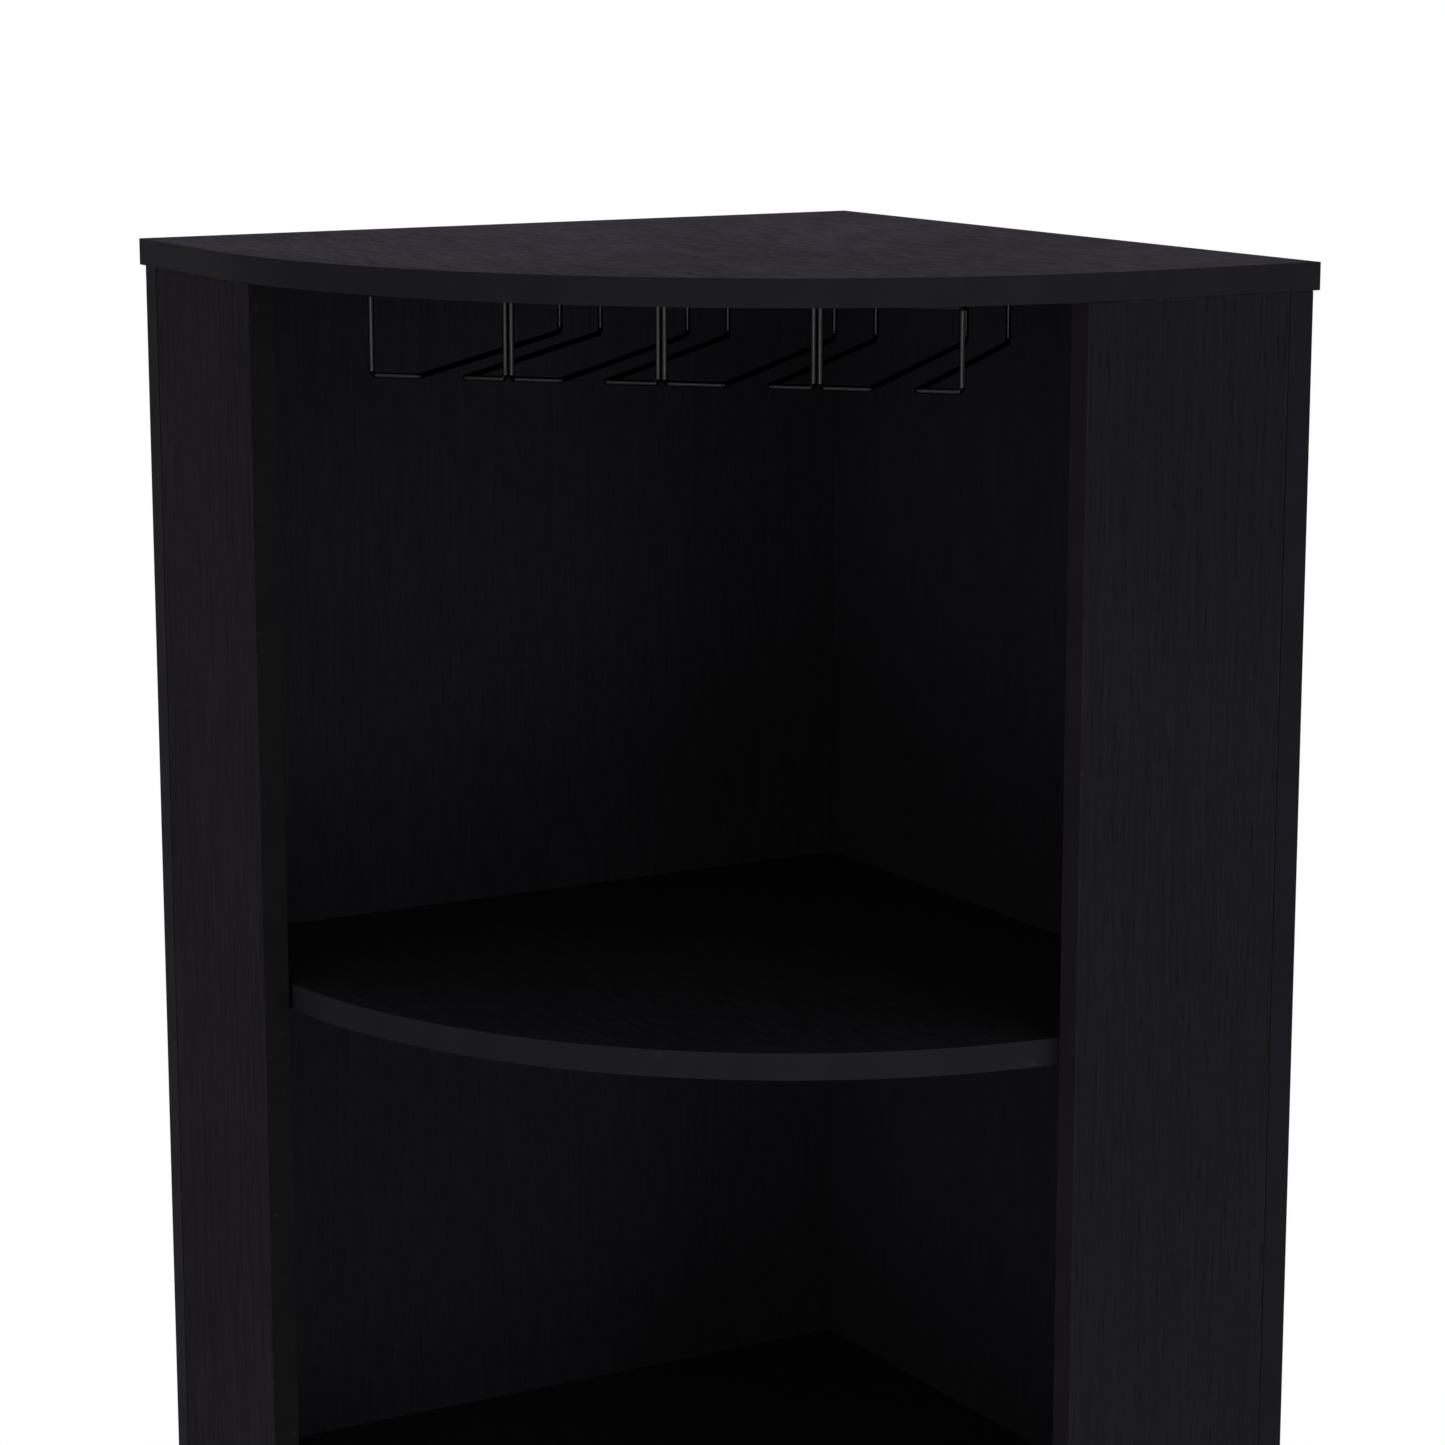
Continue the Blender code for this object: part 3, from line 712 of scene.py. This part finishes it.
def makeHanger(number, stops, look):
    leftDrop, leftRail, rightRail, rightDrop = stops
    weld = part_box("rack_front_strip")[0].z - look["gap"]
    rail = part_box("top_board")[0].z - look["drop"]
    bridge = weld - look["wire"] / 2
    length = look["front"] - look["back"]
    name = "StemwareHanger" + str(number)
    wire = startPath(name, (leftDrop, -look["front"], weld))
    for step in ((0, 0, rail - weld), (leftRail - leftDrop, 0, 0), (0, length, 0), (0, 0, bridge - rail),
                 (rightRail - leftRail, 0, 0), (0, 0, rail - bridge), (0, -length, 0),
                 (rightDrop - rightRail, 0, 0), (0, 0, weld - rail)):
        extrudeBy(*step)
    bpy.ops.object.mode_set(mode="OBJECT")
    for bend, depth in (("frontBend", look["front"]), ("backBend", look["back"])):
        pickOnly(wire, "VERT", lambda co: abs(co.y + depth) < samePlace and co.z < weld - samePlace)
        bpy.ops.mesh.bevel(offset=look[bend], segments=look["bendSteps"], affect="VERTICES")
        bpy.ops.object.mode_set(mode="OBJECT")
    bpy.ops.object.convert(target="CURVE")
    wire = bpy.context.object
    wire.data.bevel_depth = look["wire"] / 2
    wire.data.bevel_resolution = look["roundness"]
    wire.data.use_fill_caps = True
    bpy.ops.object.convert(target="MESH")
    wire = bpy.context.object
    bpy.ops.object.shade_smooth()
    welds = [makeWeld((side, -look["front"], weld), look) for side in (leftDrop, rightDrop)]
    hanger = joinPieces(name, [wire, *welds])
    hanger.data.materials.append(blackWire)
    hanger.data.materials.append(mattWire)
    shadeBends(hanger, leftDrop, rightDrop, rail, look)
    placeOnDiagonal(hanger)
    finishPiece(hanger, "carcase", "wire")
    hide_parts("stemware_hanger_" + str(number))


def makeCountersink(place, depth, look):
    # a hole that narrows upward from place
    head, shank = look["screwHead"], look["screwShank"]
    hole = spinProfile("countersink", ((0, -depth), (head, -depth), (head, 0), (shank, depth),
                                       (shank, 2 * depth), (0, 2 * depth)), look["holeSteps"])
    hole.location = place
    applyPlace(hole)
    return hole


def makeStrip(name, node, depth, ends, screws, look):
    low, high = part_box(node)
    half = look["stripWidth"] / 2
    strip = addBlock(name, (ends[0], -depth - half, low.z), (ends[1], half - depth, high.z))
    pickOnly(strip, "EDGE", lambda a, b: abs(a.z - b.z) > samePlace)
    bpy.ops.mesh.bevel(offset=look["stripCorner"], segments=look["stripCornerSteps"], affect="EDGES")
    bpy.ops.object.mode_set(mode="OBJECT")
    for side in screws:
        cutAway(strip, makeCountersink((side, -depth, low.z), high.z - low.z, look))
    easeEdges(strip, look["stripEasing"], segments=2)
    placeOnDiagonal(strip)
    finishPiece(strip, "carcase", "wire", blackStrip)
    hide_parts(node)


for number, stops in enumerate(stemwareRack["hangers"], 1):
    makeHanger(number, stops, stemwareRack)
drops = stemwareRack["hangers"][0][0], stemwareRack["hangers"][-1][3]
rails = stemwareRack["hangers"][0][1], stemwareRack["hangers"][-1][2]
reach = stemwareRack["wire"] / 2
makeStrip("RackFrontStrip", "rack_front_strip", stemwareRack["front"],
          (drops[0] - reach, drops[1] + reach), stemwareRack["frontScrews"], stemwareRack)
reach = stemwareRack["stripWidth"] / 2
makeStrip("RackBackStrip", "rack_back_strip", stemwareRack["back"],
          (rails[0] - reach, rails[1] + reach), stemwareRack["backScrews"], stemwareRack)
print("stemware rack made")


# screws

screwLooks = {
    "rack": {"radius": 0.0026, "foot": 0.54, "rise": 0.0005, "sink": 0.0011},
    "hinge": {"radius": 0.0026, "foot": 0.54, "rise": 0.00008, "sink": 0.0009},
    "pan": {"radius": 0.0035, "foot": 0.60, "rise": 0.0018, "sink": 0.0002},
    "frame": {"radius": 0.0048, "foot": 0.60, "rise": 0.0002, "sink": 0.0020},
}
screwCrown = ((0, 1), (0.45, 0.93), (0.80, 0.60), (0.96, 0.15), (1, 0))     # shares of radius and rise
screwSteps = 32
screwRoll = math.radians(37)     # from each screw to the next, so that no two stop at one angle
screwRecess = {
    "reach": 0.58,               # shares of the radius
    "halfWidth": 0.11,
    "depth": 0.5,
    "taper": (0.45, 0.75, 1),    # its foot against its mouth
    "clear": 0.001,
}


def makeScrew(look):
    # axis along Z, rim at height 0, with a cross recess
    radius, rise, sink = look["radius"], look["rise"], look["sink"]
    crown = [(radius * out, rise * up) for out, up in screwCrown]
    head = spinProfile("screwModel", (*crown, (radius * look["foot"], -sink), (0, -sink)),
                      screwSteps)
    depth = radius * screwRecess["depth"]
    reach = radius * screwRecess["reach"]
    half = radius * screwRecess["halfWidth"]
    for turn in (0, 90):
        arm = addBlock("recess", (-reach, -half, rise - depth), (reach, half, rise + screwRecess["clear"]))
        pickOnly(arm, "VERT", lambda co: co.z < rise)
        bpy.ops.transform.resize(value=screwRecess["taper"], center_override=(0, 0, 0))
        bpy.ops.object.mode_set(mode="OBJECT")
        arm.rotation_euler = (0, 0, math.radians(turn))
        applyPlace(arm)
        cutAway(head, arm)
    startPiece()
    head.select_set(True)
    bpy.context.view_layer.objects.active = head
    bpy.ops.object.shade_smooth_by_angle(angle=sharpTurn)
    return head


def setScrews(name, kind, body, material, slot, spots):
    # a spot is the place of a screw's rim and the direction that it faces
    model = makeScrew(screwLooks[kind])
    copies = [copyPiece(model, place, outward, screwRoll * i)
              for i, (place, outward) in enumerate(spots)]
    bpy.data.objects.remove(model)
    finishPiece(joinPieces(name, copies), body, slot, material)


def onDiagonal(side, depth, height):
    turn = Matrix.Rotation(alongDiagonal, 3, "Z")
    return wallCorner + turn @ Vector((side, -depth, 0)) + Vector((0, 0, height))


def middleOf(node):
    low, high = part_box(node)
    return (low + high) / 2


inwards = onDiagonal(0, -1, 0) - wallCorner      # towards the wall corner
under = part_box("rack_front_strip")[0].z
setScrews("RackScrews", "rack", "carcase", blackWire, "wire", [
    *[(onDiagonal(side, stemwareRack["front"], under), (0, 0, -1)) for side in stemwareRack["frontScrews"]],
    *[(onDiagonal(side, stemwareRack["back"], under), (0, 0, -1)) for side in stemwareRack["backScrews"]],
])

hinge = {
    "screwShares": (1 / 6, 1 / 2, 5 / 6),    # along the leaf
    "screwReach": 0.00985,                   # from the pin's axis
    "leafFace": 0.00015,                     # from the pin's axis to a leaf's open face
}


def hingeSpots(leaf, hand):
    spots = []
    for place in ("lower", "upper"):
        pin = middleOf("hinge_" + place + "_pin")
        low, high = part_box("hinge_" + place + "_" + leaf + "_leaf")
        for share in hinge["screwShares"]:
            height = low.z + (high.z - low.z) * share
            spots.append((Vector((pin.x + hand * hinge["leafFace"], pin.y + hinge["screwReach"], height)),
                          (-hand, 0, 0)))
    return spots


setScrews("StileHingeScrews", "hinge", "carcase", brushedNickel, "steel", hingeSpots("stile", 1))
setScrews("DoorHingeScrews", "hinge", "door", brushedNickel, "steel", hingeSpots("door", -1))

fittings = {
    "catchEar": 0.0195,        # from the catch's middle to a screw
    "catchEarUnder": 0.0025,   # thickness of an ear
    "strikeScrew": 0.0128,
    "strikeFace": 0.0010,
}
catch = middleOf("catch_body")
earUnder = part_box("catch_body")[1].z - fittings["catchEarUnder"]
along = onDiagonal(1, 0, 0) - wallCorner
setScrews("CatchScrews", "rack", "carcase", zincPlate, "steel", [
    (Vector((catch.x, catch.y, earUnder)) + along * side, (0, 0, -1))
    for side in (-fittings["catchEar"], fittings["catchEar"])
])
strike = middleOf("catch_strike_plate") + inwards * (fittings["strikeFace"] / 2)
setScrews("StrikePlateScrews", "hinge", "door", zincPlate, "steel", [
    (strike + along * side, inwards) for side in (-fittings["strikeScrew"], fittings["strikeScrew"])
])
knobMiddle = middleOf("door_knob")
knobSide = (knobMiddle - wallCorner).dot(along)
setScrews("KnobScrew", "pan", "door", zincPlate, "steel", [
    (onDiagonal(knobSide, door["face"] - door["thickness"], knobMiddle.z), inwards),
])

frameScrews = {
    "shelfShares": (0.18, 0.80),            # along a shelf's end
    "stileHeights": (0.16, 0.55, 1.20, 1.66),
}


def frameSpots(node, axis, face):
    # screws through a wall panel into the stile and the boards under the top; axis runs along the panel
    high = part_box(node)[1]
    spots = []
    for board in roundedBoards["nodes"][1:]:
        boardLow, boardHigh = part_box(board)
        for share in frameScrews["shelfShares"]:
            reach = (boardLow[axis] - boardHigh[axis]) * share
            spots.append((boardHigh[axis] + reach, middleOf(board).z))
    stileMiddle = middleOf(node.replace("wall_panel", "stile"))[axis]
    spots += [(stileMiddle, height) for height in frameScrews["stileHeights"]]
    places = []
    for across, height in spots:
        place = [across, across, height]
        place[1 - axis] = high[1 - axis]
        places.append((Vector(place), face))
    return places


for side, axis, face in (("left", 0, (0, 1, 0)), ("right", 1, (1, 0, 0))):
    setScrews(side.title() + "PanelScrews", "frame", "carcase", zincPlate, "steel",
              frameSpots(side + "_wall_panel", axis, face))
print("screws made")


# door knob

knob = {
    "radius": 0.015,
    "length": 0.026,
    "foot": 0.58,          # shares of the radius
    "neck": 0.40,
    "throat": 0.38,        # shares of the length
    "rim": 0.74,
    "footEase": 0.0004,
    "bellyStart": -60,     # degrees, where the belly leaves the throat
    "throatSteps": 8,
    "bellySteps": 10,
    "crownSteps": 12,
    "steps": 64,
}


def makeKnob(look):
    radius, length = look["radius"], look["length"]
    foot, neck = radius * look["foot"], radius * look["neck"]
    throat, rim = length * look["throat"], length * look["rim"]
    profile = [(0, 0), (foot - look["footEase"], 0), (foot, look["footEase"])]
    for i in range(look["throatSteps"] + 1):
        turn = math.radians(270 - 90 * i / look["throatSteps"])
        profile.append((foot + (foot - neck) * math.cos(turn), throat + (foot - neck) * math.sin(turn)))
    for i in range(look["bellySteps"] + 1):
        turn = math.radians(look["bellyStart"] * (1 - i / look["bellySteps"]))
        profile.append((neck + (radius - neck) * math.cos(turn), rim + (radius - neck) * math.sin(turn)))
    for i in range(1, look["crownSteps"]):
        turn = math.radians(90 * i / look["crownSteps"])
        profile.append((radius * math.cos(turn), rim + (length - rim) * math.sin(turn)))
    profile.append((0, length))
    model = spinProfile("knobModel", profile, look["steps"])
    outward = -inwards
    place = middleOf("door_knob") - outward * (length / 2)
    piece = copyPiece(model, place, outward)
    bpy.data.objects.remove(model)
    piece.name = "DoorKnobTurned"
    finishPiece(piece, "door", "knob", brushedNickel)
    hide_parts("door_knob")


makeKnob(knob)
print("knob made")


# materials of the remaining nodes

uprightLooks = {
    "left_wall_panel": litPanelLook,
    "right_wall_panel": litPanelLook,
    "left_stile": boardLook,
    "right_stile": shadedRightStileLook,
}
for nodeName, look in uprightLooks.items():
    finish = makeBoardFinish("board_" + nodeName, "Z", look, box=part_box(nodeName))
    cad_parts[nodeName].data.materials.clear()
    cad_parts[nodeName].data.materials.append(finish)

nodeFinishes = {
    "door": uprightBoard,
    "toe_board": crossBoard,
    "inner_shelf": litShelfFinishes[0],
    "door_knob": brushedNickel,
    "catch_body": blackPlastic,
    "catch_strike_plate": zincPlate,
}
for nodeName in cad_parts:
    if nodeName.startswith(("hinge_", "shelf_peg_")):
        nodeFinishes[nodeName] = brushedNickel
    elif nodeName.startswith("rack_"):
        nodeFinishes[nodeName] = blackStrip
    elif nodeName.startswith("stemware_"):
        nodeFinishes[nodeName] = blackWire
    elif nodeName.startswith("glide_"):
        nodeFinishes[nodeName] = blackPlastic
for nodeName, finish in nodeFinishes.items():
    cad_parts[nodeName].data.materials.clear()
    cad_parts[nodeName].data.materials.append(finish)
print("nodes finished")


# light, floor and background

studio = {
    "fill": 0.172,           # even light from all round
    "floorColour": 0.86,
    "floorRadius": 9.0,
    "floorSteps": 96,
    "fadeStart": 1.2,        # past here the floor melts into the white background
    "fadeEnd": 3.0,
    "lamps": {
        "overhead": {"place": (0.5, 0.5, 3.9), "aim": (0, 0, 1.8), "size": (2.2, 2.2), "watts": 38},
        "frontStrip": {"place": (-2.0, -1.8, 1.5), "aim": (0, 0, 1.4), "size": (1.7, 0.22), "watts": 10},
        "sideStrip": {"place": (-1.2, -2.9, 1.5), "aim": (0, 0, 1.4), "size": (0.9, 0.22), "watts": 3},
        "leftSoft": {"place": (-3.0, -0.9, 1.5), "aim": (0, 0, 1.4), "size": (2.2, 2.2), "watts": 7.6},
        "rightSoft": {"place": (0.9, -3.0, 1.6), "aim": (0, 0, 1.4), "size": (2.2, 2.2), "watts": 44},
        "leftLow": {"place": (-2.5, -0.9, 0.55), "aim": (0, 0, 1.4), "size": (1.6, 0.8), "watts": 12},
        "rightLow": {"place": (-0.5, -2.6, 0.55), "aim": (0, 0, 1.4), "size": (1.6, 0.8), "watts": 10},
        "leftFar": {"place": (-2.2, 1.8, 1.0), "aim": (0, 0, 1.4), "size": (1.6, 1.8), "watts": 8.4},
    },
    "mirrored": ("overhead", "frontStrip", "sideStrip"),     # the lamps that metal shows
}


def whiteRays(tree):
    # camera, glossy and transmission rays see the plain white background
    path = addNode(tree, "ShaderNodeLightPath").outputs
    seen = doMath(tree, "MAXIMUM", path["Is Camera Ray"], path["Is Glossy Ray"])
    return doMath(tree, "MAXIMUM", seen, path["Is Transmission Ray"])


def makeWorld(look):
    world = bpy.data.worlds.new("studioWorld")
    bpy.context.scene.world = world
    world.use_nodes = True
    tree = world.node_tree
    tree.nodes.clear()
    light = addNode(tree, "ShaderNodeBackground", {"Color": (1, 1, 1, 1), "Strength": look["fill"]})
    white = addNode(tree, "ShaderNodeBackground", {"Color": (1, 1, 1, 1), "Strength": 1.0})
    both = addNode(tree, "ShaderNodeMixShader", {
        0: whiteRays(tree),
        1: light.outputs[0],
        2: white.outputs[0],
    })
    addNode(tree, "ShaderNodeOutputWorld", {"Surface": both.outputs[0]})


def makeFloor(look):
    startPiece()
    bpy.ops.mesh.primitive_circle_add(vertices=look["floorSteps"], radius=look["floorRadius"],
                                      fill_type="NGON")
    floor = bpy.context.object
    floor.name = "studioFloor"
    material, tree, place = startMaterial("paleFloor")
    away = addNode(tree, "ShaderNodeVectorMath", {0: place}, operation="LENGTH").outputs["Value"]
    fade = addNode(tree, "ShaderNodeMapRange", {
        "Value": away,
        "From Min": look["fadeStart"],
        "From Max": look["fadeEnd"],
    }, interpolation_type="SMOOTHSTEP").outputs[0]
    shade = [look["floorColour"]] * 3
    matt = addNode(tree, "ShaderNodeBsdfDiffuse", {"Color": (*shade, 1.0)})
    white = addNode(tree, "ShaderNodeEmission", {"Color": (1, 1, 1, 1), "Strength": 1.0})
    mixed = addNode(tree, "ShaderNodeMixShader", {
        0: doMath(tree, "MULTIPLY", fade, whiteRays(tree)),
        1: matt.outputs[0],
        2: white.outputs[0],
    })
    addNode(tree, "ShaderNodeOutputMaterial", {"Surface": mixed.outputs[0]})
    floor.data.materials.append(material)


def addLamp(name, look):
    place = Vector(look["place"])
    bpy.ops.object.light_add(type="AREA", location=place)
    lamp = bpy.context.object
    lamp.name = name
    lamp.rotation_euler = (Vector(look["aim"]) - place).to_track_quat("-Z", "Y").to_euler()
    lamp.data.shape = "RECTANGLE"
    lamp.data.size, lamp.data.size_y = look["size"]
    lamp.data.energy = look["watts"]
    lamp.visible_camera = False
    lamp.visible_glossy = name in studio["mirrored"]


makeWorld(studio)
makeFloor(studio)
for lampName, lampLook in studio["lamps"].items():
    addLamp(lampName, lampLook)
print("light and floor made")
